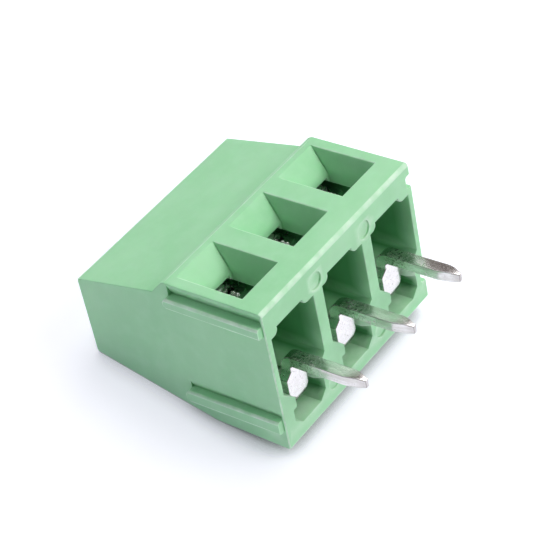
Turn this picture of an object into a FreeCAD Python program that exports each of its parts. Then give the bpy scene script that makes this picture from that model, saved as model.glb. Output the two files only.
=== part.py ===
import FreeCAD, Part
import math
import os

# Screw terminal for a circuit board: a moulded row of three poles, each with a folded
# contact strip that ends in a solder pin, a rising clamp cage and a slotted screw.
#
# Frame: the origin is the middle pin where it meets the board. X runs along the row,
# +Y away from the wire entries, +Z up to the screws. The board's face is the plane z = 0.

# Row
pole_count = 3
pitch = 5.08
partition_wall = 0.90

# Housing outline, seen from the end of the row
body_depth = 10.40
body_height = 14.15
pin_setback = 5.45
top_setback = 2.10
top_depth = 5.78
knee_height = 5.36
knee_inset = 0.21
entry_block_height = 6.98
entry_block_chamfer = 0.30
ledge_rise = 0.85
ledge_run = 0.80
edge_radius = 0.14
corner_radius = 0.25

# Wire entries
entry_width = 3.50
entry_sill = 1.88
entry_height = 4.70
entry_taper_depth = 1.20
throat_width = 2.52
throat_height = 3.30

# Shafts inside the housing
front_wall = 1.62
guide_diagonal_share = 0.55
rear_wall = 1.50
relief_width = 1.90
relief_depth = 0.55
guide_roof_gap = 0.15
guide_radius = 0.12
boss_reach = 0.52
boss_width_left = 0.66
boss_width_right = 1.05
boss_round_left = 0.40
boss_round_right = 0.50
ejector_mark_radius = 0.58
ejector_mark_depth = 0.12
front_mark_setback = 1.34
rear_mark_setback = 9.02
ejector_mark_offset = -0.07

# Play of the cage in its shaft
cage_fit = 0.09
cage_front_gap = 0.30
cage_rear_gap = 0.15
cage_roof_gap = 0.05
cage_step_gap = 0.45

# Interlocking ridges on one end and their grooves in the other
ridge_height = 0.42
ridge_widths = (0.74, 0.92)
ridge_setbacks = (0.90, 8.02)
ridge_tip_radius = 0.16
ridge_bottom = 0.16
ridge_top = 7.05
relief_pocket_widths = (0.78, 0.50)
relief_pocket_depths = (0.30, 0.20)
relief_pocket_top = 6.78
groove_clearance = 0.06
groove_lead = 0.30

# Screws and their seats
screw_setback = 4.50
screw_head_diameter = 3.70
screw_head_height = 1.70
screw_shank_diameter = 2.45
screw_slot_width = 0.80
screw_slot_depth = 0.90
screw_edge_chamfer = 0.15
screw_tip_chamfer = 0.35
seat_thickness = 0.90
head_clearance = 0.10
shank_clearance = 0.08
seat_gap = 0.03
tip_gap = 0.10

# Contact strips
strip_thickness = 0.70
strip_fit = 0.08
contact_width = 2.22
contact_underside = 5.35
contact_front = 2.38
leg_width = 2.96
leg_bottom = 1.75
leg_bend_radius = 0.60
arm_width = 1.86
arm_underside = 0.65
arm_neck = 0.45
arm_shoulder = 0.35
arm_left_chamfer = 0.50
arm_right_chamfer = 0.22
bend_inner_radius = 0.20
pin_width = 0.84
pin_length = 4.55
pin_bend_radius = 0.90
pin_left_bevel = 1.40
pin_right_bevel = 0.85
pin_bevel_radius = 1.50
pin_nip_length = 0.55
pin_tip_width = 0.24
pin_tip_thickness = 0.54

# Clamp cages
cage_depth = 3.50
cage_sheet = 0.70
cage_plate = 1.50
cage_corner_radius = 0.60
cage_window_radius = 0.15
cage_travel = 2.70
cage_stop_gap = 0.10
grip_groove_count = 3
grip_groove_pitch = 1.00
grip_groove_depth = 0.16
grip_groove_width = 0.40
thread_clearance = 0.05

# How far cutters and joined solids reach into what they meet
overlap = 0.01
reach = 0.50

# Places that follow from the sizes above
front_y = -pin_setback
body_length = pole_count * pitch
left_x = -body_length / 2
right_x = body_length / 2
shaft_width = pitch - partition_wall
screw_y = front_y + screw_setback
cage_front_y = screw_y - cage_depth / 2
cage_rear_y = screw_y + cage_depth / 2
shaft_front_y = front_y + front_wall
upper_shaft_front_y = cage_front_y - cage_front_gap
shaft_rear_y = cage_rear_y + cage_rear_gap
slot_rear_y = front_y + body_depth - rear_wall
strip_rear_y = slot_rear_y - strip_fit
slot_front_y = strip_rear_y - strip_thickness - strip_fit
contact_top = contact_underside + strip_thickness
cage_floor_top = contact_underside - cage_stop_gap
cage_floor_bottom = cage_floor_top - cage_sheet
cage_window_height = cage_travel + strip_thickness + 2 * cage_stop_gap
cage_plate_bottom = cage_floor_top + cage_window_height
cage_top = cage_plate_bottom + cage_plate
cage_width = shaft_width - 2 * cage_fit
shaft_step_z = contact_top + cage_step_gap
guide_diagonal = guide_diagonal_share * (slot_front_y - shaft_rear_y)
shaft_roof_z = cage_top + cage_roof_gap
seat_z = shaft_roof_z + seat_thickness


def vec(x, y, z):
    return FreeCAD.Vector(x, y, z)


def pole_places():
    return [left_x + pitch * (index + 0.5) for index in range(pole_count)]


def rounded_wire(corners, place):
    """Closed wire through (u, v, radius) corners; place turns (u, v) into a point."""
    count = len(corners)
    edges = []
    last_end = None
    first_start = None
    for index in range(count):
        before = place(*corners[index - 1][:2])
        here = place(*corners[index][:2])
        after = place(*corners[(index + 1) % count][:2])
        radius = corners[index][2]
        to_before = (before - here).normalize()
        to_after = (after - here).normalize()
        start = here
        end = here
        if radius > 0:
            half = to_before.getAngle(to_after) / 2
            trim = radius / math.tan(half)
            start = here + to_before * trim
            end = here + to_after * trim
            middle_direction = (to_before + to_after).normalize()
            middle = here + middle_direction * (radius / math.sin(half) - radius)
        if last_end is not None and start.distanceToPoint(last_end) > 1e-6:
            edges.append(Part.makeLine(last_end, start))
        if radius > 0:
            edges.append(Part.Arc(start, middle, end).toShape())
        if first_start is None:
            first_start = start
        last_end = end
    if first_start.distanceToPoint(last_end) > 1e-6:
        edges.append(Part.makeLine(last_end, first_start))
    return Part.Wire(edges)


def side_prism(corners, x_from, x_to):
    """Prism along X with its outline in the YZ plane."""
    wire = rounded_wire(corners, lambda y, z: vec(x_from, y, z))
    return Part.Face(wire).extrude(vec(x_to - x_from, 0, 0))


def plan_prism(corners, z_from, z_to):
    """Prism along Z with its outline in the XY plane."""
    wire = rounded_wire(corners, lambda x, y: vec(x, y, z_from))
    return Part.Face(wire).extrude(vec(0, 0, z_to - z_from))


def front_prism(corners, y_from, y_to):
    """Prism along Y with its outline in the XZ plane."""
    wire = rounded_wire(corners, lambda x, z: vec(x, y_from, z))
    return Part.Face(wire).extrude(vec(0, y_to - y_from, 0))


def box(x_from, x_to, y_from, y_to, z_from, z_to):
    return Part.makeBox(x_to - x_from, y_to - y_from, z_to - z_from, vec(x_from, y_from, z_from))


def join(shapes):
    result = shapes[0]
    for shape in shapes[1:]:
        result = result.fuse(shape)
    return result.removeSplitter()


# Housing

def housing_blank():
    """The wedge-shaped body: proud entry block, leaning front, leaning back and a knee."""
    block_face_top = entry_block_height
    block_top = block_face_top + entry_block_chamfer
    ledge_front_y = front_y + entry_block_chamfer / 2
    outline = [
        (front_y, 0, corner_radius),
        (front_y, block_face_top, 0),
        (ledge_front_y, block_top, 0),
        (ledge_front_y + ledge_rise, block_top + ledge_run, 0),
        (front_y + top_setback, body_height, corner_radius),
        (front_y + top_setback + top_depth, body_height, corner_radius),
        (front_y + body_depth - knee_inset, knee_height, 0),
        (front_y + body_depth, 0, edge_radius),
    ]
    blank = side_prism(outline, left_x, right_x)
    end_edges = []
    for edge in blank.Edges:
        bounds = edge.BoundBox
        if bounds.XLength < 1e-6:
            end_edges.append(edge)
    return blank.makeChamfer(edge_radius / 2, end_edges)


def wire_entry(x):
    """Funnel from the entry face down to a straight throat."""
    def opening(width, bottom, height, y):
        half = width / 2
        corners = [(x - half, bottom), (x + half, bottom), (x + half, bottom + height), (x - half, bottom + height)]
        points = [vec(u, y, v) for u, v in corners]
        return Part.makePolygon(points + points[:1])

    throat_y = front_y + entry_taper_depth
    sections = [
        opening(entry_width, entry_sill, entry_height, front_y),
        opening(throat_width, entry_sill, throat_height, throat_y),
    ]
    funnel = Part.makeLoft(sections, True, True)
    half = throat_width / 2
    throat = box(x - half, x + half, throat_y, shaft_front_y + boss_reach + reach, entry_sill, entry_sill + throat_height)
    return funnel.fuse(throat)


def strip_shaft(x):
    """Open bottom shaft of the strip: guide gap behind the cage and the slot of the leg."""
    half = shaft_width / 2
    gap = contact_width / 2 + strip_fit
    slot = leg_width / 2 + strip_fit
    relief = relief_width / 2
    left = [
        (x - relief, slot_rear_y + relief_depth, 0),
        (x - slot, slot_rear_y, 0),
        (x - slot, slot_front_y, 0),
        (x - gap, slot_front_y, guide_radius),
        (x - gap, shaft_rear_y + guide_diagonal, 0),
        (x - half, shaft_rear_y, 0),
        (x - half, shaft_front_y, 0),
    ]
    right = [(2 * x - u, v, radius) for u, v, radius in reversed(left)]
    return plan_prism(left + right, 0, contact_top + guide_roof_gap)


def cage_shaft(x):
    """Shaft of the cage, narrower above the contact, where its threaded plate travels."""
    half = shaft_width / 2
    upper = box(x - half, x + half, upper_shaft_front_y, shaft_rear_y, 0, shaft_roof_z)
    lower = box(x - half, x + half, shaft_front_y, shaft_rear_y, 0, shaft_step_z)
    return join([upper, lower])


def screw_well(x):
    """Access hole, seat for the screw's head and the shank's hole below it."""
    well_radius = screw_head_diameter / 2 + head_clearance
    shank_radius = screw_shank_diameter / 2 + shank_clearance
    well = Part.makeCylinder(well_radius, body_height, vec(x, screw_y, seat_z))
    shank = Part.makeCylinder(shank_radius, seat_z, vec(x, screw_y, shaft_roof_z - reach))
    return join([well, shank])


def corner_boss(x_wall, side):
    """Thickened front corner of a shaft; side is +1 right of a wall and -1 left of it."""
    width = boss_width_left if side > 0 else boss_width_right
    radius = boss_round_left if side > 0 else boss_round_right
    boss_rear_y = shaft_front_y + boss_reach
    boss_front_y = shaft_front_y - overlap
    root_x = x_wall - side * overlap
    outline = [
        (root_x, boss_front_y, 0),
        (x_wall + side * width, boss_front_y, 0),
        (x_wall + side * width, boss_rear_y, radius),
        (root_x, boss_rear_y, 0),
    ]
    return plan_prism(outline, 0, shaft_step_z)


def ejector_mark(x, setback):
    place = vec(x + ejector_mark_offset, front_y + setback, 0)
    return Part.makeCylinder(ejector_mark_radius, ejector_mark_depth, place)


def ridge(setback, width):
    """Male ridge on the left end, with a round upper end and rounded crests."""
    y_from = front_y + setback
    y_to = y_from + width
    x_tip = left_x - ridge_height
    section = [
        (left_x + overlap, y_from, 0),
        (x_tip, y_from, ridge_tip_radius),
        (x_tip, y_to, ridge_tip_radius),
        (left_x + overlap, y_to, 0),
    ]
    bar = plan_prism(section, ridge_bottom, ridge_top)
    end_radius = width / 2 - overlap
    outline = [
        (y_from, ridge_bottom, 0),
        (y_from, ridge_top, end_radius),
        (y_to, ridge_top, end_radius),
        (y_to, ridge_bottom, 0),
    ]
    return bar.common(side_prism(outline, x_tip, left_x + overlap))


def relief_pocket(setback, width, depth):
    """Wedge-shaped hollow in front of a ridge, deepest at the ridge's foot."""
    y_foot = front_y + setback
    section = [(left_x, y_foot - width, 0), (left_x + depth, y_foot, 0), (left_x, y_foot, 0)]
    return plan_prism(section, ridge_bottom, relief_pocket_top)


def groove(setback, width):
    """Female groove in the right end for the next block's ridge, open at the bottom."""
    y_from = front_y + setback - groove_clearance
    y_to = front_y + setback + width + groove_clearance
    depth = ridge_height + groove_clearance
    section = [
        (right_x + reach, y_from, 0),
        (right_x - depth, y_from, ridge_tip_radius),
        (right_x - depth, y_to, ridge_tip_radius),
        (right_x + reach, y_to, 0),
    ]
    return plan_prism(section, 0, ridge_top + groove_lead)


def housing():
    body = housing_blank()
    places = pole_places()
    hollows = []
    bosses = []
    for x in places:
        wall = shaft_width / 2
        hollows += [strip_shaft(x), cage_shaft(x), screw_well(x)]
        bosses += [corner_boss(x - wall, 1), corner_boss(x + wall, -1)]
    for shape in hollows:
        body = body.cut(shape)
    for shape in bosses:
        body = body.fuse(shape)
    for x in places:
        body = body.cut(wire_entry(x))
    for x in places[:-1]:
        for setback in (front_mark_setback, rear_mark_setback):
            body = body.cut(ejector_mark(x + pitch / 2, setback))
    for setback, width, pocket_width, pocket_depth in zip(
        ridge_setbacks, ridge_widths, relief_pocket_widths, relief_pocket_depths
    ):
        body = body.cut(groove(setback, width))
        body = body.cut(relief_pocket(setback, pocket_width, pocket_depth))
        body = body.fuse(ridge(setback, width))
    return body.removeSplitter()


# Contact strips

def strip_fold():
    """Side view of the folded strip: contact, leg, arm and pin, with its bends."""
    y_rear = strip_rear_y
    y_leg = y_rear - strip_thickness
    y_pin_rear = strip_thickness / 2
    y_pin_front = -strip_thickness / 2
    arm_top = arm_underside + strip_thickness
    inner = bend_inner_radius
    return [
        (front_y + contact_front, contact_top, 0),
        (y_rear, contact_top, leg_bend_radius),
        (y_rear, arm_underside, leg_bend_radius),
        (y_pin_rear, arm_underside, inner),
        (y_pin_rear, -pin_length, 0),
        (y_pin_front, -pin_length, 0),
        (y_pin_front, arm_top, pin_bend_radius),
        (y_leg, arm_top, inner),
        (y_leg, contact_underside, inner),
        (front_y + contact_front, contact_underside, 0),
    ]


def arm_outline(x):
    """Plan of the arm: neck behind the pin, shoulders, and unequal corners before the leg."""
    half_arm = arm_width / 2
    half_pin = pin_width / 2
    pin_rear_y = strip_thickness / 2
    neck_y = pin_rear_y + arm_neck
    shoulder_y = neck_y + arm_shoulder
    arm_rear_y = strip_rear_y - leg_bend_radius
    return [
        (x - half_pin, pin_rear_y, 0),
        (x + half_pin, pin_rear_y, 0),
        (x + half_pin, neck_y, 0),
        (x + half_arm, shoulder_y, 0),
        (x + half_arm, arm_rear_y - arm_right_chamfer, 0),
        (x + half_arm - arm_right_chamfer, arm_rear_y, 0),
        (x + half_arm - arm_right_chamfer, strip_rear_y, 0),
        (x - half_arm + arm_left_chamfer, strip_rear_y, 0),
        (x - half_arm + arm_left_chamfer, arm_rear_y, 0),
        (x - half_arm, arm_rear_y - arm_left_chamfer, 0),
        (x - half_arm, shoulder_y, 0),
        (x - half_pin, neck_y, 0),
    ]


def strip_blank(x):
    """Front and plan outlines that trim the folded strip to its changing width."""
    half_contact = contact_width / 2
    half_leg = leg_width / 2
    half_pin = pin_width / 2
    y_front = front_y + contact_front
    y_leg = strip_rear_y - strip_thickness
    y_pin = -strip_thickness / 2
    neck_y = strip_thickness / 2 + arm_neck
    contact = box(x - half_contact, x + half_contact, y_front, y_leg, contact_underside - reach, contact_top)
    leg = box(x - half_leg, x + half_leg, y_leg, strip_rear_y, leg_bottom, contact_top)
    arm = plan_prism(arm_outline(x), arm_underside, leg_bottom)
    pin = box(x - half_pin, x + half_pin, y_pin, neck_y, -pin_length, leg_bottom)
    return join([contact, leg, arm, pin])


def pin_waste(x):
    """What coining takes off the pin's end: a long left bevel, a short right one and two nips."""
    half_width = pin_width / 2
    half_tip = pin_tip_width / 2
    half_thickness = strip_thickness / 2
    half_edge = pin_tip_thickness / 2
    tip_z = -pin_length
    chisel = [
        (x - half_width, 0, 0),
        (x + half_width, 0, 0),
        (x + half_width, tip_z + pin_right_bevel, pin_bevel_radius),
        (x + half_tip, tip_z, 0),
        (x - half_tip, tip_z, 0),
        (x - half_width, tip_z + pin_left_bevel, 0),
    ]
    nips = [
        (-half_thickness, 0, 0),
        (half_thickness, 0, 0),
        (half_thickness, tip_z + pin_nip_length, 0),
        (half_edge, tip_z, 0),
        (-half_edge, tip_z, 0),
        (-half_thickness, tip_z + pin_nip_length, 0),
    ]
    kept = front_prism(chisel, -half_thickness, half_thickness)
    kept = kept.common(side_prism(nips, x - half_width, x + half_width))
    end_zone = box(x - pin_width, x + pin_width, -strip_thickness, strip_thickness, tip_z, 0)
    return end_zone.cut(kept)


def contact_strip(x):
    fold = side_prism(strip_fold(), x - leg_width / 2, x + leg_width / 2)
    return fold.common(strip_blank(x)).cut(pin_waste(x)).removeSplitter()


# Clamp cages

def grip_groove(x, groove_y, half_length):
    """Cutter for one V groove across the cage's floor, where the wire is gripped."""
    half = grip_groove_width / 2
    section = [
        (groove_y - half, cage_floor_top + overlap, 0),
        (groove_y, cage_floor_top - grip_groove_depth, 0),
        (groove_y + half, cage_floor_top + overlap, 0),
    ]
    return side_prism(section, x - half_length, x + half_length)


def clamp_cage(x):
    """Folded frame: floor, two sides and a double threaded plate on top."""
    half = cage_width / 2
    inner = half - cage_sheet
    radius = cage_corner_radius
    outside = [
        (x - half, cage_floor_bottom, radius),
        (x + half, cage_floor_bottom, radius),
        (x + half, cage_top, radius),
        (x - half, cage_top, radius),
    ]
    window = [
        (x - inner, cage_floor_top, cage_window_radius),
        (x + inner, cage_floor_top, cage_window_radius),
        (x + inner, cage_plate_bottom, cage_window_radius),
        (x - inner, cage_plate_bottom, cage_window_radius),
    ]
    frame = front_prism(outside, cage_front_y, cage_rear_y).cut(front_prism(window, cage_front_y, cage_rear_y))
    bore_radius = screw_shank_diameter / 2 + thread_clearance
    bore = Part.makeCylinder(bore_radius, cage_top - contact_top, vec(x, screw_y, contact_top))
    frame = frame.cut(bore)
    for step in range(grip_groove_count):
        groove_y = screw_y + grip_groove_pitch * (step - (grip_groove_count - 1) / 2)
        frame = frame.cut(grip_groove(x, groove_y, inner))
    return frame


# Screws

def clamp_screw(x):
    """Cheese-head screw with a straight slot and a chamfered tip."""
    head_bottom = seat_z + seat_gap
    head_top = head_bottom + screw_head_height
    head_radius = screw_head_diameter / 2
    shank_radius = screw_shank_diameter / 2
    tip_z = contact_top + tip_gap
    outline = [
        vec(0, 0, tip_z),
        vec(shank_radius - screw_tip_chamfer, 0, tip_z),
        vec(shank_radius, 0, tip_z + screw_tip_chamfer),
        vec(shank_radius, 0, head_bottom),
        vec(head_radius, 0, head_bottom),
        vec(head_radius, 0, head_top - screw_edge_chamfer),
        vec(head_radius - screw_edge_chamfer, 0, head_top),
        vec(0, 0, head_top),
    ]
    half_profile = Part.Face(Part.makePolygon(outline + outline[:1]))
    blank = half_profile.revolve(vec(0, 0, 0), vec(0, 0, 1), 360)
    half_slot = screw_slot_width / 2
    slot = box(-half_slot, half_slot, -head_radius, head_radius, head_top - screw_slot_depth, head_top)
    screw = blank.cut(slot)
    screw.translate(vec(x, screw_y, 0))
    return screw


def write(name, shape):
    shape.exportStep(os.path.join("parts", name + ".step"))


def main():
    os.makedirs("parts", exist_ok=True)
    write("housing", housing())
    for number, x in enumerate(pole_places(), start=1):
        write("contact_strip_%d" % number, contact_strip(x))
        write("clamp_cage_%d" % number, clamp_cage(x))
        write("clamp_screw_%d" % number, clamp_screw(x))


main()
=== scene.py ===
import math

import bmesh
import bpy
import numpy as np
from mathutils import Matrix, Vector
from mathutils.bvhtree import BVHTree
from mathutils.geometry import delaunay_2d_cdt


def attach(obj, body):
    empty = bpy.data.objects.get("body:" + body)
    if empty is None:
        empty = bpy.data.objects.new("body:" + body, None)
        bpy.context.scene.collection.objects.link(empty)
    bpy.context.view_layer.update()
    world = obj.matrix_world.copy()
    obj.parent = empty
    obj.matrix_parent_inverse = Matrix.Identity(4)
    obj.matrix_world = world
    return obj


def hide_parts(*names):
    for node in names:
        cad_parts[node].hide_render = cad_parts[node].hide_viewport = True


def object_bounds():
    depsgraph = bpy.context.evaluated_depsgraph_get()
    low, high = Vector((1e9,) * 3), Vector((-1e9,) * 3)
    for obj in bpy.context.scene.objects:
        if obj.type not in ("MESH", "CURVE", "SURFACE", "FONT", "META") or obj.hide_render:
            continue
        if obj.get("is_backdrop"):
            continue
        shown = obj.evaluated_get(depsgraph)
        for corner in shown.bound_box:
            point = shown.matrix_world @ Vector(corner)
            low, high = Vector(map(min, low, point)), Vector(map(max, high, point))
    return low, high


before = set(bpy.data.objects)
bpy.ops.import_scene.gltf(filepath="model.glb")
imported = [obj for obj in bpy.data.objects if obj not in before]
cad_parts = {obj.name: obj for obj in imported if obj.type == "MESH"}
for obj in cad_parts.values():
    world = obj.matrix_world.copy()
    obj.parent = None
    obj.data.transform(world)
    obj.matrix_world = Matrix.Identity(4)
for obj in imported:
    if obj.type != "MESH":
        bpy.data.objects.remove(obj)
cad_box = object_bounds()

MM = 0.001

# Middles of the poles
POLE_X = [-5.08 * MM, 0.0, 5.08 * MM]

# Places on the housing in millimetres, with X counted from the nearest pole's middle
FRONT_Y = -5.45
FUNNEL_END_Y = -4.25
FUNNEL_END_LOW_Z = 1.8
FUNNEL_END_HIGH_Z = 5.3
FUNNEL_REACH = 0.30
MOUTH_LOW_X = 1.15
MOUTH_HIGH_X = 1.34
MOUTH_LOW_Y = 1.70
MOUTH_HIGH_Y = 2.65
RAMP_HEIGHT = 0.52
RAMP_WIDENING = 0.56
RAMP_END_X = 1.50
RAMP_TURN_Y = 2.0
SHAFT_HALF_WIDTH = 2.2
SHAFT_BACK_Y = 1.2
SHAFT_TOP_Z = 11.0
THROAT_TOP_Z = 7.0

# Middles of the ejector marks, in millimetres
MARK_PLACES = [(x, y) for x in (-2.61, 2.47) for y in (-4.11, 3.57)]

# Evenly cut flats: distance between inner points and from the rim in millimetres, and the area of a flat left as it is
CUT_SPACING = 0.55
CUT_MARGIN = 0.20
SMALL_FLAT = 0.05 * MM * MM

# Degrees between two faces: an outer edge is rounded from the clear turn, or from the shallow one if it is long, and
# an inner edge stays crisp from its own turn
CLEAR_TURN = 50
SHALLOW_TURN = 15
CRISP_INNER_TURN = 15
LONG_EDGE = 10 * MM

# Degrees between two edges up to which one carries the other on, and from which it leaves the other less room
CHAIN_TURN = 60
CROSSING_TURN = 30

# Width of the rounded edges, how far the wide flats lead the shading beside them, and the widest strip that is marked
# as an edge
HOUSING_EDGE = 0.08 * MM
STRIP_EDGE = 0.05 * MM
CAGE_EDGE = 0.12 * MM
SCREW_EDGE = 0.05 * MM
HOUSING_LEVEL = 2.0
METAL_LEVEL = 0.5
LINE_WIDTH = 0.09 * MM

# Teeth on the front edge of a cage's floor, and the rolled front edge of a contact
TOOTH_ROWS = (("upper", 5.07 * MM), ("lower", 4.72 * MM))
TOOTH_COUNT = 6
TOOTH_PITCH = 0.38 * MM
TOOTH_SIZE = (0.17 * MM, 0.13 * MM, 0.16 * MM)
FIRST_TOOTH_X = -0.95 * MM
TOOTH_Y = -2.70 * MM
ROLLED_EDGE_X = 0.05 * MM
ROLLED_EDGE_Y = -3.07 * MM
ROLLED_EDGE_Z = 5.68 * MM
ROLLED_EDGE_SIZE = (1.02 * MM, 0.22 * MM, 0.30 * MM)

# Colours of the moulding
GREEN_DEEP = (0.322, 0.680, 0.370)
GREEN_PALE = (0.398, 0.743, 0.440)
GREEN_MOTTLE = (0.425, 0.760, 0.480)
# Painted shade deep in the shafts, the strips' slots and the funnels
GREEN_SHAFT_SHADE = (0.090, 0.330, 0.125)
# Painted highlight along the rounded edges and on the pale places
GREEN_PAINTED_LIGHT = (0.720, 0.915, 0.735)

# Colours of the metals
TIN_DULL = (0.720, 0.710, 0.705)
TIN_BRIGHT = (0.860, 0.850, 0.855)
TIN_STREAK = (0.520, 0.500, 0.470)
TIN_PIT = (0.100, 0.095, 0.090)
# Painted shade at the pins' tips
TIN_TIP_SHADE = (0.360, 0.330, 0.320)
# Painted highlight: the arms' tin is whiter, standing in for their bright reflection
TIN_ARM_PAINTED_BRIGHT = (0.970, 0.955, 0.965)
TIN_SPECK = (0.300, 0.280, 0.300)
# Painted shade along the rounded edges of the tin
TIN_EDGE_SHADE = (0.200, 0.185, 0.180)
CAGE_LIGHT = (0.90, 0.90, 0.89)
CAGE_DARK = (0.72, 0.72, 0.71)
SCREW_LIGHT = (0.70, 0.72, 0.75)
SCREW_DARK = (0.50, 0.52, 0.55)

# Leaning back on which the block lies, through the knee and the top's rear edge
REST_KNEE = Vector((0.0, 4.74, 5.36)) * MM
REST_TOP = Vector((0.0, 2.43, 14.15)) * MM
REST_NORMAL = Vector((0.0, -0.9671, -0.2542))
REST_GAP = 0.02 * MM

# Table: its half size, half the width of the covered place, and the reach of the contact shade
TABLE_SIDE = 500.0 * MM
COVERED_HALF = 7.5 * MM
CONTACT_REACH = 2.6 * MM

# Camera of the photograph
CAMERA_PLACE = Vector((-71.219, -77.859, -60.989)) * MM
CAMERA_RIGHT = Vector((0.57079, 0.16516, -0.80431))
CAMERA_DOWN = Vector((-0.58771, 0.76625, -0.25972))
CAMERA_AHEAD = Vector((0.57341, 0.62095, 0.53444))
FOCAL_LENGTH = 135.126

# Place at which the soft lights aim, and their distance from it
LIGHT_AIM = Vector((0.0, -0.5, 5.0)) * MM
LIGHT_DISTANCE = 0.30


# Shader helpers

def new_material(name):
    material = bpy.data.materials.new(name)
    material.use_nodes = True
    material.node_tree.nodes.clear()
    return material


def noise(tree, coords, scale, detail, roughness, stretch=None):
    """Noise on object coordinates, stretched along an axis if asked."""
    source = coords
    if stretch:
        mapping = tree.nodes.new("ShaderNodeMapping")
        mapping.inputs["Scale"].default_value = stretch
        tree.links.new(coords, mapping.inputs["Vector"])
        source = mapping.outputs["Vector"]
    node = tree.nodes.new("ShaderNodeTexNoise")
    node.inputs["Scale"].default_value = scale
    node.inputs["Detail"].default_value = detail
    node.inputs["Roughness"].default_value = roughness
    tree.links.new(source, node.inputs["Vector"])
    return node.outputs["Fac"]


def ramp(tree, factor, stops):
    node = tree.nodes.new("ShaderNodeValToRGB")
    elements = node.color_ramp.elements
    while len(elements) < len(stops):
        elements.new(0.5)
    for element, (place, colour) in zip(elements, stops):
        element.position = place
        element.color = (*colour, 1.0)
    tree.links.new(factor, node.inputs["Fac"])
    return node.outputs["Color"]


def span(tree, value, low, high, to_low, to_high):
    """Value carried from one range to another, and held at its ends."""
    node = tree.nodes.new("ShaderNodeMapRange")
    node.inputs["From Min"].default_value = low
    node.inputs["From Max"].default_value = high
    node.inputs["To Min"].default_value = to_low
    node.inputs["To Max"].default_value = to_high
    tree.links.new(value, node.inputs["Value"])
    return node.outputs["Result"]


def maths(tree, operation, first, second):
    node = tree.nodes.new("ShaderNodeMath")
    node.operation = operation
    for socket, value in zip(node.inputs, (first, second)):
        if isinstance(value, (int, float)):
            socket.default_value = value
        else:
            tree.links.new(value, socket)
    return node.outputs["Value"]


def tint(tree, factor, base, top):
    """Base colour covered by a top colour, as far as the factor says."""
    node = tree.nodes.new("ShaderNodeMix")
    node.data_type = "RGBA"
    sockets = [s for s in node.inputs if s.enabled]
    for socket, value in zip(sockets, (factor, base, top)):
        if isinstance(value, tuple):
            socket.default_value = (*value, 1.0)
        elif isinstance(value, (int, float)):
            socket.default_value = value
        else:
            tree.links.new(value, socket)
    return [s for s in node.outputs if s.enabled][0]


def attribute(tree, name):
    node = tree.nodes.new("ShaderNodeAttribute")
    node.attribute_name = name
    return node.outputs["Fac"]


def bump(tree, height, strength, distance, normal=None):
    node = tree.nodes.new("ShaderNodeBump")
    node.inputs["Strength"].default_value = strength
    node.inputs["Distance"].default_value = distance
    tree.links.new(height, node.inputs["Height"])
    if normal is not None:
        tree.links.new(normal, node.inputs["Normal"])
    return node.outputs["Normal"]


def close(tree, shader):
    output = tree.nodes.new("ShaderNodeOutputMaterial")
    tree.links.new(shader, output.inputs["Surface"])


def moulded_green():
    """Light green moulding: satin, slightly translucent, with flow marks and mottle, painted shade deeper in the
    shafts and painted highlights along the edges.
    """
    material = new_material("moulded_green")
    tree = material.node_tree
    coords = tree.nodes.new("ShaderNodeTexCoord").outputs["Object"]
    flow = noise(tree, coords, 160.0, detail=4.0, roughness=0.55, stretch=(1.0, 0.35, 1.6))
    grain = noise(tree, coords, 5200.0, detail=2.0, roughness=0.6)
    mottle = noise(tree, coords, 900.0, detail=3.0, roughness=0.6)
    depth = attribute(tree, "shaft_depth")
    # Painted highlight: paler moulding along the edge lines, broken up by the mottle
    painted_light = maths(tree, "MULTIPLY", span(tree, attribute(tree, "edge_line"), 0.0, 1.2, 0.0, 1.0),
                   span(tree, mottle, 0.38, 0.62, 0.45, 1.0))
    colour = ramp(tree, flow, [(0.30, GREEN_DEEP), (0.70, GREEN_PALE)])
    colour = tint(tree, span(tree, mottle, 0.45, 0.70, 0.0, 0.42), colour, GREEN_MOTTLE)
    # Painted shade: darker, deeper green in the shafts, slots and funnels, which also dulls the sheen
    colour = tint(tree, span(tree, depth, 0.0, 1.0, 0.0, 1.0), colour, GREEN_SHAFT_SHADE)
    colour = tint(tree, painted_light, colour, GREEN_PAINTED_LIGHT)
    shader = tree.nodes.new("ShaderNodeBsdfPrincipled")
    tree.links.new(colour, shader.inputs["Base Color"])
    tree.links.new(span(tree, mottle, 0.2, 0.8, 0.42, 0.56), shader.inputs["Roughness"])
    shader.inputs["IOR"].default_value = 1.50
    tree.links.new(span(tree, depth, 0.0, 0.25, 0.32, 0.08), shader.inputs["Specular IOR Level"])
    shader.inputs["Subsurface Weight"].default_value = 0.35
    shader.inputs["Subsurface Radius"].default_value = (0.5, 1.0, 0.6)
    shader.inputs["Subsurface Scale"].default_value = 0.35 * MM
    normal = bump(tree, flow, 0.10, 0.02 * MM)
    normal = bump(tree, grain, 0.16, 0.004 * MM, normal)
    tree.links.new(normal, shader.inputs["Normal"])
    close(tree, shader.outputs["BSDF"])
    return material


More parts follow.
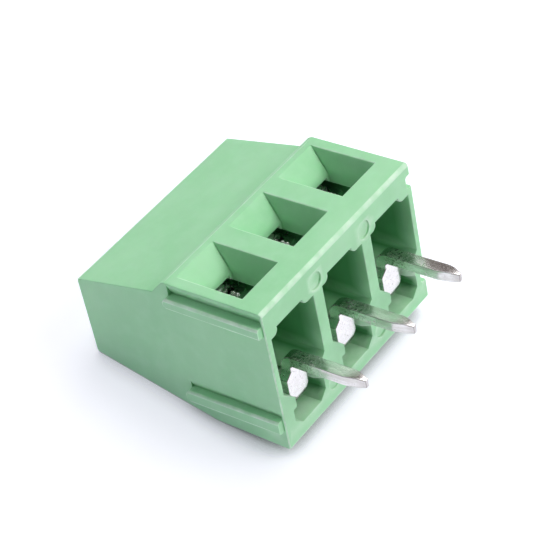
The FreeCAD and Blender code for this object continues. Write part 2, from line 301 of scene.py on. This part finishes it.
def tin_plate():
    """Bright tin: drawing streaks, cross ripples, specks, and pits where the strip is folded, with painted shade along
    the edges and at the tip and painted brightness on the arms.
    """
    material = new_material("tin_plate")
    tree = material.node_tree
    coords = tree.nodes.new("ShaderNodeTexCoord").outputs["Object"]
    places = tree.nodes.new("ShaderNodeSeparateXYZ")
    tree.links.new(coords, places.inputs["Vector"])
    level = places.outputs["Z"]
    streaks = noise(tree, coords, 3600.0, detail=3.0, roughness=0.6, stretch=(1.0, 1.0, 0.08))
    ripples = noise(tree, coords, 2600.0, detail=2.0, roughness=0.6, stretch=(0.25, 0.25, 1.0))
    cloud = noise(tree, coords, 800.0, detail=3.0, roughness=0.55)
    pits = noise(tree, coords, 6800.0, detail=2.0, roughness=0.6)
    specks = noise(tree, coords, 9000.0, detail=1.0, roughness=0.5)
    folded = maths(tree, "MULTIPLY", span(tree, level, -1.9 * MM, -0.3 * MM, 0.0, 1.0),
                   span(tree, level, 0.50 * MM, 0.62 * MM, 1.0, 0.05))
    dents = maths(tree, "MULTIPLY", span(tree, pits, 0.52, 0.66, 0.0, 0.80), folded)
    colour = ramp(tree, cloud, [(0.30, TIN_DULL), (0.65, TIN_BRIGHT)])
    colour = tint(tree, span(tree, streaks, 0.35, 0.60, 0.45, 0.0), colour, TIN_STREAK)
    colour = tint(tree, dents, colour, TIN_PIT)
    # Painted shade towards the tip
    colour = tint(tree, span(tree, level, -4.4 * MM, -3.9 * MM, 0.35, 0.0), colour, TIN_TIP_SHADE)
    # Painted brightness on the arms
    colour = tint(tree, span(tree, level, 0.60 * MM, 0.66 * MM, 0.0, 0.65), colour, TIN_ARM_PAINTED_BRIGHT)
    colour = tint(tree, span(tree, specks, 0.66, 0.72, 0.0, 0.5), colour, TIN_SPECK)
    # Painted shade along the tin's edge lines
    colour = tint(tree, span(tree, attribute(tree, "edge_line"), 0.0, 1.0, 0.0, 0.70), colour, TIN_EDGE_SHADE)
    shader = tree.nodes.new("ShaderNodeBsdfPrincipled")
    tree.links.new(colour, shader.inputs["Base Color"])
    shader.inputs["Metallic"].default_value = 1.0
    tree.links.new(span(tree, cloud, 0.3, 0.7, 0.14, 0.30), shader.inputs["Roughness"])
    normal = bump(tree, streaks, 0.35, 0.006 * MM)
    normal = bump(tree, ripples, 0.25, 0.012 * MM, normal)
    normal = bump(tree, maths(tree, "MULTIPLY", pits, folded), 0.60, 0.055 * MM, normal)
    tree.links.new(normal, shader.inputs["Normal"])
    close(tree, shader.outputs["BSDF"])
    return material


def plated_steel(name, light, dark, smoothest, roughest):
    """Bright plate on steel: fine brushing, and clouds of darker and less glossy plate."""
    material = new_material(name)
    tree = material.node_tree
    coords = tree.nodes.new("ShaderNodeTexCoord").outputs["Object"]
    brushing = noise(tree, coords, 3000.0, detail=2.0, roughness=0.6, stretch=(0.15, 1.0, 1.0))
    cloud = noise(tree, coords, 600.0, detail=4.0, roughness=0.6)
    colour = ramp(tree, cloud, [(0.30, dark), (0.70, light)])
    shader = tree.nodes.new("ShaderNodeBsdfPrincipled")
    tree.links.new(colour, shader.inputs["Base Color"])
    shader.inputs["Metallic"].default_value = 1.0
    tree.links.new(span(tree, cloud, 0.3, 0.7, smoothest, roughest), shader.inputs["Roughness"])
    tree.links.new(bump(tree, brushing, 0.2, 0.004 * MM), shader.inputs["Normal"])
    close(tree, shader.outputs["BSDF"])
    return material


# Mesh helpers

def from_pole(x):
    """Distance along the row from the nearest pole's middle, in millimetres."""
    return x - min(POLE_X, key=lambda centre: abs(centre / MM - x)) / MM


def flat_regions(mesh):
    """Groups of touching faces that lie in one plane."""
    mesh.faces.ensure_lookup_table()
    mesh.faces.index_update()
    seen = set()
    for seed in mesh.faces:
        if seed.index in seen:
            continue
        seen.add(seed.index)
        region = [seed]
        queue = [seed]
        while queue:
            face = queue.pop()
            for edge in face.edges:
                for other in edge.link_faces:
                    if other.index in seen or other.normal.dot(seed.normal) < 0.999995:
                        continue
                    seen.add(other.index)
                    region.append(other)
                    queue.append(other)
        yield seed.normal.copy(), region


def inside_rim(points, starts, ends):
    """Which points lie inside an outline, by the number of rim edges to their right."""
    run = ends - starts
    below = starts[None, :, 1] <= points[:, None, 1]
    crosses = below != (ends[None, :, 1] <= points[:, None, 1])
    slope = np.where(np.abs(run[:, 1]) > 1e-12, run[:, 1], 1e-12)
    reach = starts[None, :, 0] + (points[:, None, 1] - starts[None, :, 1]) * (run[:, 0] / slope)[None]
    return (crosses & (reach > points[:, None, 0])).sum(axis=1) % 2 == 1


def inner_points(starts, ends, spacing, margin):
    """Grid points inside a flat outline, clear of its rim by a margin."""
    low = starts.min(axis=0)
    high = starts.max(axis=0)
    across = np.arange(low[0] + spacing / 2, high[0], spacing)
    along = np.arange(low[1] + spacing / 2, high[1], spacing)
    if not len(across) or not len(along):
        return []
    points = np.array([(u, v) for u in across for v in along])
    run = ends - starts
    length = np.maximum((run ** 2).sum(axis=1), 1e-18)
    offset = points[:, None, :] - starts[None]
    share = np.clip((offset * run[None]).sum(axis=2) / length[None], 0, 1)
    gap = np.linalg.norm(offset - share[..., None] * run[None], axis=2).min(axis=1)
    return [tuple(point) for point in points[inside_rim(points, starts, ends) & (gap > margin)]]


def recut_flat(mesh, normal, region):
    """New triangles for one flat, with points inside it, so that no long sliver ends at its rim."""
    members = set(region)
    rim_edges = [e for f in region for e in f.edges if sum(1 for other in e.link_faces if other in members) == 1]
    verts = list(dict.fromkeys(v for e in rim_edges for v in e.verts))
    number = {v: i for i, v in enumerate(verts)}
    axis_u = (rim_edges[0].verts[1].co - rim_edges[0].verts[0].co).normalized()
    axis_v = normal.cross(axis_u).normalized()
    origin = verts[0].co.copy()
    corners = [((v.co - origin).dot(axis_u) / MM, (v.co - origin).dot(axis_v) / MM) for v in verts]
    rim = [(number[e.verts[0]], number[e.verts[1]]) for e in rim_edges]
    starts = np.array([corners[a] for a, b in rim])
    ends = np.array([corners[b] for a, b in rim])
    inner = inner_points(starts, ends, CUT_SPACING, CUT_MARGIN)
    cut = delaunay_2d_cdt([Vector(c) for c in corners + inner], rim, [], 0, 1e-6)
    if len(cut[0]) != len(corners) + len(inner):
        return
    centres = np.array([sum((cut[0][i] for i in corner_ids), Vector((0, 0))) / 3 for corner_ids in cut[2]])
    kept = [triangle for triangle, inside in zip(cut[2], inside_rim(centres, starts, ends)) if inside]
    places = {}
    for index, (u, v) in enumerate(inner, start=len(corners)):
        places[index] = origin + axis_u * u * MM + axis_v * v * MM
    source = [ids[0] for ids in cut[3]]
    bmesh.ops.delete(mesh, geom=region, context="FACES")
    made = {}
    for triangle in kept:
        ring = []
        for corner in triangle:
            index = source[corner]
            if index < len(verts):
                ring.append(verts[index])
            else:
                if index not in made:
                    made[index] = mesh.verts.new(places[index])
                ring.append(made[index])
        face = mesh.faces.new(ring)
        face.normal_update()
        if face.normal.dot(normal) < 0:
            face.normal_flip()


def open_mouths(mesh):
    """Carries each funnel's slopes further in, and opens the mouths of the strips' guides with a ramp."""
    whole = list(mesh.verts) + list(mesh.edges) + list(mesh.faces)
    bmesh.ops.bisect_plane(mesh, geom=whole, dist=1e-7, plane_co=(0, 0, RAMP_HEIGHT * MM), plane_no=(0, 0, 1))
    for vert in mesh.verts:
        x, y, z = vert.co / MM
        place = from_pole(x)
        if abs(y - FUNNEL_END_Y) < 0.01 and FUNNEL_END_LOW_Z < z < FUNNEL_END_HIGH_Z:
            vert.co.y += FUNNEL_REACH * MM
        if z < 0.01 and MOUTH_LOW_X < place < MOUTH_HIGH_X and MOUTH_LOW_Y < y < MOUTH_HIGH_Y:
            wider = RAMP_WIDENING if y < RAMP_TURN_Y else RAMP_END_X - place
            vert.co.x += wider * MM
            if y < RAMP_TURN_Y:
                vert.co.y -= wider * MM


def merged_copy(node, name, reshape=None):
    """Copy of a solid's mesh with its doubles merged and its flats cut evenly."""
    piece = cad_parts[node].copy()
    piece.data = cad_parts[node].data.copy()
    piece.name = name
    bpy.context.collection.objects.link(piece)
    mesh = bmesh.new()
    mesh.from_mesh(piece.data)
    bmesh.ops.remove_doubles(mesh, verts=mesh.verts, dist=0.0005 * MM)
    if reshape:
        reshape(mesh)
    mesh.normal_update()
    flats = [(normal, region) for normal, region in flat_regions(mesh)
             if len(region) > 2 and sum(face.calc_area() for face in region) > SMALL_FLAT]
    for normal, region in flats:
        recut_flat(mesh, normal, region)
    mesh.to_mesh(piece.data)
    mesh.free()
    for leftover in ("custom_normal", "sharp_face", "sharp_edge"):
        if leftover in piece.data.attributes:
            piece.data.attributes.remove(piece.data.attributes[leftover])
    return piece


def edge_room(edge, sharp, width):
    """Widest bevel that an edge can take beside its neighbours, and the edges that carry it on."""
    along = (edge.verts[1].co - edge.verts[0].co).normalized()
    room = width
    carried_on = []
    for vert in edge.verts:
        outward = along if vert is edge.verts[1] else -along
        for other in vert.link_edges:
            if other is edge:
                continue
            run = other.other_vert(vert).co - vert.co
            turn = outward.angle(run)
            if other in sharp and turn < math.radians(CHAIN_TURN):
                carried_on.append(other)
                room = min(room, 0.4 * edge.calc_length() / math.tan(max(turn, 0.02) / 2))
            elif math.radians(CROSSING_TURN) < turn < math.radians(180 - CROSSING_TURN):
                room = min(room, 0.42 * run.cross(along).length)
    return room, carried_on


def outer_corner(edge):
    """A clear outer corner, or a shallow one that runs the length of the row."""
    if len(edge.link_faces) != 2 or not edge.is_convex:
        return False
    turn = math.degrees(edge.calc_face_angle())
    return turn > CLEAR_TURN or turn > SHALLOW_TURN and edge.calc_length() > LONG_EDGE


def broken_edges(piece, width):
    """Bevel every outer corner, by less where its chain of edges has less room."""
    mesh = bmesh.new()
    mesh.from_mesh(piece.data)
    layer = mesh.edges.layers.float.new("bevel_weight_edge")
    sharp = dict.fromkeys(e for e in mesh.edges if outer_corner(e))
    rooms = {}
    chains = {}
    for edge in sharp:
        rooms[edge], chains[edge] = edge_room(edge, sharp, width)
    queue = sorted(sharp, key=lambda e: rooms[e])
    for edge in queue:
        reached = [edge]
        while reached:
            here = reached.pop()
            for other in chains[here]:
                if rooms[other] > rooms[here] * 1.001:
                    rooms[other] = rooms[here]
                    reached.append(other)
    for edge in sharp:
        edge[layer] = rooms[edge] / width
    for face in mesh.faces:
        face.smooth = True
    mesh.to_mesh(piece.data)
    mesh.free()
    bevel = piece.modifiers.new("broken_edges", "BEVEL")
    bevel.width = width
    bevel.segments = 2
    bevel.limit_method = "WEIGHT"
    bevel.use_clamp_overlap = False
    bevel.loop_slide = False


def settle(piece):
    """Turns a piece with live modifiers into a plain mesh."""
    shaped = piece.evaluated_get(bpy.context.evaluated_depsgraph_get())
    mesh = bpy.data.meshes.new_from_object(shaped)
    piece.modifiers.clear()
    old = piece.data
    piece.data = mesh
    mesh.name = piece.name
    bpy.data.meshes.remove(old)


def square_corners(piece, solid):
    """Turns faces that a broken edge has folded over, and keeps the inner corners crisp."""
    mesh = bmesh.new()
    mesh.from_mesh(piece.data)
    for face in mesh.faces:
        outward = solid.find_nearest(face.calc_center_median())[1]
        if outward.dot(face.normal) < -0.05:
            face.normal_flip()
    mesh.normal_update()
    for edge in mesh.edges:
        if len(edge.link_faces) == 2:
            turn = math.degrees(edge.calc_face_angle())
            edge.smooth = turn < (CLEAR_TURN if edge.is_convex else CRISP_INNER_TURN)
    mesh.to_mesh(piece.data)
    mesh.free()


def keep_within(piece, solid):
    """Moves corners that stand out of the solid's box back to its faces."""
    corners = np.array([vert.co for vert in solid.data.vertices])
    low, high = corners.min(axis=0), corners.max(axis=0)
    for vert in piece.data.vertices:
        vert.co = np.clip(vert.co, low, high)


def smooth_fans(vert):
    """Groups of faces round a corner that no sharp edge parts."""
    waiting = list(vert.link_faces)
    while waiting:
        fan = [waiting.pop()]
        queue = list(fan)
        while queue:
            for edge in queue.pop().edges:
                if edge.smooth and vert in edge.verts:
                    reached = [face for face in waiting if face in list(edge.link_faces)]
                    waiting = [face for face in waiting if face not in reached]
                    fan.extend(reached)
                    queue.extend(reached)
        yield fan


def level_flats(piece, power):
    """Shades every corner by the widest flats that meet there, so that they stay level beside their broken edges."""
    mesh = bmesh.new()
    mesh.from_mesh(piece.data)
    width = {}
    for _, region in flat_regions(mesh):
        area = sum(face.calc_area() for face in region) / MM ** 2
        width.update((face, area ** power) for face in region)
    mesh.verts.index_update()
    mesh.faces.index_update()
    shading = {}
    for vert in mesh.verts:
        for fan in smooth_fans(vert):
            normal = sum((face.normal * width[face] for face in fan), Vector()).normalized()
            shading.update(((face.index, vert.index), normal) for face in fan)
    mesh.free()
    corners = [shading[face.index, vert] for face in piece.data.polygons for vert in face.vertices]
    piece.data.normals_split_custom_set(corners)


def dress(node, body, material, width, power=METAL_LEVEL, reshape=None):
    """Detailed piece that stands for one solid, with its edges rounded by a width."""
    piece = merged_copy(node, node + "_piece", reshape)
    mesh = bmesh.new()
    mesh.from_mesh(piece.data)
    solid = BVHTree.FromBMesh(mesh)
    mesh.free()
    broken_edges(piece, width)
    settle(piece)
    square_corners(piece, solid)
    keep_within(piece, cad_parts[node])
    level_flats(piece, power)
    piece.data.materials.clear()
    piece.data.materials.append(material)
    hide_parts(node)
    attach(piece, body)
    return piece


def tooth_row_tree():
    """Tree of a row of rounded teeth, with inputs for their count, spacing, place, size and finish."""
    tree = bpy.data.node_groups.new("tooth_row", "GeometryNodeTree")
    tree.interface.new_socket("Geometry", in_out="OUTPUT", socket_type="NodeSocketGeometry")
    for name, kind in (("Count", "Int"), ("Pitch", "Vector"), ("Start", "Vector"), ("Size", "Vector"),
                       ("Finish", "Material")):
        tree.interface.new_socket(name, in_out="INPUT", socket_type="NodeSocket" + kind)
    given = tree.nodes.new("NodeGroupInput").outputs
    line = tree.nodes.new("GeometryNodeMeshLine")
    tooth = tree.nodes.new("GeometryNodeMeshUVSphere")
    tooth.inputs["Segments"].default_value = 20
    tooth.inputs["Rings"].default_value = 12
    tooth.inputs["Radius"].default_value = 1.0
    place = tree.nodes.new("GeometryNodeInstanceOnPoints")
    plain = tree.nodes.new("GeometryNodeRealizeInstances")
    finish = tree.nodes.new("GeometryNodeSetMaterial")
    result = tree.nodes.new("NodeGroupOutput").inputs["Geometry"]
    for start, end in ((given["Count"], line.inputs["Count"]), (given["Pitch"], line.inputs["Offset"]),
                       (given["Start"], line.inputs["Start Location"]), (line.outputs["Mesh"], place.inputs["Points"]),
                       (tooth.outputs["Mesh"], place.inputs["Instance"]), (given["Size"], place.inputs["Scale"]),
                       (place.outputs["Instances"], plain.inputs["Geometry"]),
                       (plain.outputs["Geometry"], finish.inputs["Geometry"]),
                       (given["Finish"], finish.inputs["Material"]), (finish.outputs["Geometry"], result)):
        tree.links.new(start, end)
    return tree


def add_tooth_row(name, tree, body, slot, **values):
    """Row of rounded teeth made by the tree, as a plain piece that rides on a body."""
    piece = bpy.data.objects.new(name, bpy.data.meshes.new(name))
    bpy.context.collection.objects.link(piece)
    row = piece.modifiers.new("tooth_row", "NODES")
    row.node_group = tree
    for socket in tree.interface.items_tree:
        if socket.name in values:
            row[socket.identifier] = values[socket.name]
    settle(piece)
    for face in piece.data.polygons:
        face.use_smooth = True
    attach(piece, body)


def add_grips(number, tree, cage_plate):
    """Two rows of teeth on the front edge of a cage's floor, and the rolled front edge of the contact above it."""
    x = POLE_X[number - 1]
    for row, z in TOOTH_ROWS:
        add_tooth_row(f"grip_teeth_{row}_{number}", tree, f"cage_{number}", "plated_cage", Count=TOOTH_COUNT,
                      Pitch=(TOOTH_PITCH, 0.0, 0.0), Start=(x + FIRST_TOOTH_X, TOOTH_Y, z), Size=TOOTH_SIZE,
                      Finish=cage_plate)
    add_tooth_row(f"rolled_edge_{number}", tree, "block", "tinned_strip", Count=1, Pitch=(0.0, 0.0, 0.0),
                  Start=(x + ROLLED_EDGE_X, ROLLED_EDGE_Y, ROLLED_EDGE_Z), Size=ROLLED_EDGE_SIZE, Finish=cage_plate)


def paint_shaft_shade(housing):
    """Share of depth inside the shafts, the strips' slots and the funnels, for painted shade that darkens the
    moulding's walls there.
    """
    depth = housing.data.attributes.new("shaft_depth", "FLOAT", "POINT")
    for vert, value in zip(housing.data.vertices, depth.data):
        x, y, z = vert.co / MM
        place = from_pole(x)
        shaft_front = -3.36 if place > 0 else -3.90
        in_shaft = abs(place) < SHAFT_HALF_WIDTH and shaft_front < y < SHAFT_BACK_Y and z < SHAFT_TOP_Z
        in_slot = 1.52 < abs(place) < 1.6 and 2.55 < y < 3.50 and z < THROAT_TOP_Z
        in_funnel = abs(place) < 1.72 and FRONT_Y + 0.05 < y < -3.30 and 1.6 < z < THROAT_TOP_Z
        if in_shaft:
            value.value = min(1.0, max(0.0, (z - 0.1) / 1.1))
        elif in_slot:
            value.value = 1.0 if z > 0.05 else 0.0
        elif in_funnel:
            value.value = 0.12 * (y - FRONT_Y)


def mark_edges(piece):
    """Line along the middle of every rounded edge, for a painted highlight on the moulding and painted shade on the
    tin.
    """
    mesh = bmesh.new()
    mesh.from_mesh(piece.data)
    line = mesh.verts.layers.float.new("edge_line")
    narrow = set()
    for _, region in flat_regions(mesh):
        length = max(edge.calc_length() for face in region for edge in face.edges)
        if sum(face.calc_area() for face in region) < LINE_WIDTH * length:
            narrow.update(region)
    for vert in mesh.verts:
        if narrow.issuperset(vert.link_faces):
            vert[line] = 1.0
    mesh.to_mesh(piece.data)
    mesh.free()


def paint_light_patches(housing):
    """Painted light: paler moulding on the guides' ramps, the relief behind the strips, the ejector marks' rims and
    the ledge, standing in for the light that they catch.
    """
    for vert, line in zip(housing.data.vertices, housing.data.attributes["edge_line"].data):
        x, y, z = vert.co / MM
        place = from_pole(x)
        if 1.15 < place < 1.85 and 1.20 < y < 2.64 and 0.0 < z < 0.60:
            line.value = 0.9
        elif 3.6 < y < 4.2 and z < 1.2:
            line.value = max(line.value, 0.45)
        elif 6.90 < z < 7.40 and y < -4.0 and line.value == 1.0:
            line.value = 2.0
        elif z < 0.13 and any(0.50 < math.hypot(x - u, y - v) < 0.63 for u, v in MARK_PLACES):
            line.value = 0.7


def build_block():
    green = moulded_green()
    tin = tin_plate()
    cage_plate = plated_steel("cage_plate", CAGE_LIGHT, CAGE_DARK, 0.16, 0.34)
    screw_plate = plated_steel("screw_plate", SCREW_LIGHT, SCREW_DARK, 0.20, 0.38)
    housing = dress("housing", "block", green, HOUSING_EDGE, HOUSING_LEVEL, open_mouths)
    paint_shaft_shade(housing)
    mark_edges(housing)
    paint_light_patches(housing)
    teeth = tooth_row_tree()
    for number in (1, 2, 3):
        strip = dress(f"contact_strip_{number}", "block", tin, STRIP_EDGE)
        mark_edges(strip)
        dress(f"clamp_cage_{number}", f"cage_{number}", cage_plate, CAGE_EDGE)
        dress(f"clamp_screw_{number}", f"screw_{number}", screw_plate, SCREW_EDGE)
        add_grips(number, teeth, cage_plate)


# Studio

def lit_white(tree, albedo, glow):
    """White that takes shadow, with a glow of its own."""
    matt = tree.nodes.new("ShaderNodeBsdfDiffuse")
    matt.inputs["Color"].default_value = (*albedo, 1.0)
    light = tree.nodes.new("ShaderNodeEmission")
    light.inputs["Color"].default_value = (*glow, 1.0)
    both = tree.nodes.new("ShaderNodeAddShader")
    tree.links.new(matt.outputs[0], both.inputs[0])
    tree.links.new(light.outputs[0], both.inputs[1])
    return both.outputs[0]


def mix_shaders(tree, factor, first, second):
    node = tree.nodes.new("ShaderNodeMixShader")
    tree.links.new(factor, node.inputs["Fac"])
    tree.links.new(first, node.inputs[1])
    tree.links.new(second, node.inputs[2])
    return node.outputs[0]


def table_white():
    """Table: shown white with a soft shadow and a painted contact shadow from an occlusion node, bright for the block,
    clear from below.
    """
    material = new_material("table_white")
    tree = material.node_tree
    bounced = lit_white(tree, albedo=(0.95, 0.94, 0.95), glow=(0.30, 0.25, 0.38))
    shown = lit_white(tree, albedo=(0.48, 0.48, 0.48), glow=(0.655, 0.650, 0.720))
    # Painted contact shadow: the occlusion node mixes a near black into the shown white close to the block
    nearby = tree.nodes.new("ShaderNodeAmbientOcclusion")
    nearby.samples = 8
    nearby.inputs["Distance"].default_value = CONTACT_REACH
    contact = lit_white(tree, albedo=(0.05, 0.05, 0.05), glow=(0.06, 0.07, 0.07))
    shown = mix_shaders(tree, span(tree, nearby.outputs["AO"], 0.22, 0.68, 0.0, 1.0), contact, shown)
    path = tree.nodes.new("ShaderNodeLightPath")
    looked_at = maths(tree, "MAXIMUM", path.outputs["Is Camera Ray"], path.outputs["Is Glossy Ray"])
    clear = tree.nodes.new("ShaderNodeBsdfTransparent").outputs[0]
    back = tree.nodes.new("ShaderNodeNewGeometry").outputs["Backfacing"]
    close(tree, mix_shaders(tree, back, mix_shaders(tree, looked_at, bounced, shown), clear))
    return material


def lay_table():
    """Table under the leaning back. The place that the block covers is seen by the camera alone."""
    along = REST_NORMAL.cross(Vector((1.0, 0.0, 0.0))).normalized()
    centre = REST_KNEE - REST_NORMAL * REST_GAP

    def point(u, v):
        return tuple(centre + Vector((u, 0.0, 0.0)) + along * v)

    reach = (REST_TOP - REST_KNEE).dot(along)
    low, high = sorted((-0.03 * reach, 0.97 * reach))
    corners = [point(u, v) for u in (-TABLE_SIDE, -COVERED_HALF, COVERED_HALF, TABLE_SIDE)
               for v in (-TABLE_SIDE, low, high, TABLE_SIDE)]
    grid = [(4 * i + j, 4 * i + j + 1, 4 * i + j + 5, 4 * i + j + 4) for i in range(3) for j in range(3)]
    white = table_white()
    for name, faces in (("table", grid[:4] + grid[5:]), ("table_place", [grid[4]])):
        mesh = bpy.data.meshes.new(name)
        mesh.from_pydata(corners, [], faces)
        if mesh.polygons[0].normal.dot(REST_NORMAL) < 0:
            mesh.flip_normals()
        mesh.materials.append(white)
        table = bpy.data.objects.new(name, mesh)
        bpy.context.collection.objects.link(table)
        if name == "table_place":
            table.visible_shadow = False
            table.visible_diffuse = False
            table.visible_glossy = False
            table.visible_transmission = False
        table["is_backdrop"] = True


def sky(tree, colour, strength):
    node = tree.nodes.new("ShaderNodeBackground")
    node.inputs["Color"].default_value = (*colour, 1.0)
    node.inputs["Strength"].default_value = strength
    return node.outputs[0]


def light_world():
    """White for the camera. For the block, a bright table below and a dim room above."""
    world = bpy.data.worlds.new("studio")
    bpy.context.scene.world = world
    world.use_nodes = True
    tree = world.node_tree
    tree.nodes.clear()
    direction = tree.nodes.new("ShaderNodeTexCoord").outputs["Generated"]
    height = tree.nodes.new("ShaderNodeVectorMath")
    height.operation = "DOT_PRODUCT"
    height.inputs[1].default_value = REST_NORMAL
    tree.links.new(direction, height.inputs[0])
    above = span(tree, height.outputs["Value"], -0.06, 0.06, 0.0, 1.0)
    path = tree.nodes.new("ShaderNodeLightPath")
    bounce = sky(tree, (0.96, 0.95, 1.0), strength=1.22)
    room = sky(tree, (0.9, 0.95, 1.0), strength=0.06)
    mirrored = sky(tree, (1.0, 0.86, 0.80), strength=0.20)
    overhead = mix_shaders(tree, path.outputs["Is Glossy Ray"], room, mirrored)
    around = mix_shaders(tree, above, bounce, overhead)
    white = sky(tree, (1.0, 1.0, 1.0), strength=1.0)
    output = tree.nodes.new("ShaderNodeOutputWorld")
    tree.links.new(mix_shaders(tree, path.outputs["Is Camera Ray"], around, white), output.inputs["Surface"])


def soft_light(name, bearing, height, size, power, colour=(1.0, 1.0, 1.0)):
    """Round soft light above the table. Bearing 0 is the picture's right and 90 its top."""
    flat_right = (CAMERA_RIGHT - REST_NORMAL * CAMERA_RIGHT.dot(REST_NORMAL)).normalized()
    flat_top = REST_NORMAL.cross(flat_right)
    data = bpy.data.lights.new(name, "AREA")
    data.shape = "DISK"
    data.size = size
    data.energy = power
    data.color = colour
    lamp = bpy.data.objects.new(name, data)
    bpy.context.collection.objects.link(lamp)
    turn = math.radians(bearing)
    rise = math.radians(height)
    level = flat_right * math.cos(turn) + flat_top * math.sin(turn)
    lamp.location = LIGHT_AIM + (REST_NORMAL * math.sin(rise) + level * math.cos(rise)) * LIGHT_DISTANCE
    lamp.rotation_mode = "QUATERNION"
    lamp.rotation_quaternion = (LIGHT_AIM - lamp.location).to_track_quat("-Z", "Y")
    lamp.visible_camera = False


def place_camera():
    """Camera of the photograph: it looks at the entry face, the ridged end and the underside."""
    data = bpy.data.cameras.new("view")
    data.sensor_width = 36.0
    data.lens = FOCAL_LENGTH
    data.clip_start = 0.001
    data.clip_end = 10.0
    camera = bpy.data.objects.new("view", data)
    bpy.context.collection.objects.link(camera)
    turn = Matrix((CAMERA_RIGHT, -CAMERA_DOWN, -CAMERA_AHEAD)).transposed()
    camera.matrix_world = Matrix.Translation(CAMERA_PLACE) @ turn.to_4x4()
    bpy.context.scene.camera = camera


build_block()
lay_table()
light_world()
soft_light("right_panel", bearing=0, height=45, size=0.26, power=0.61)
soft_light("far_panel", bearing=85, height=60, size=0.22, power=0.51)
soft_light("left_panel", bearing=180, height=45, size=0.26, power=0.19, colour=(0.94, 0.98, 1.10))
place_camera()
bpy.context.scene.view_settings.view_transform = "Standard"

boxes = {"cad": cad_box, "visual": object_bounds()}
{key: [list(map(float, corner)) for corner in box] for key, box in boxes.items()}
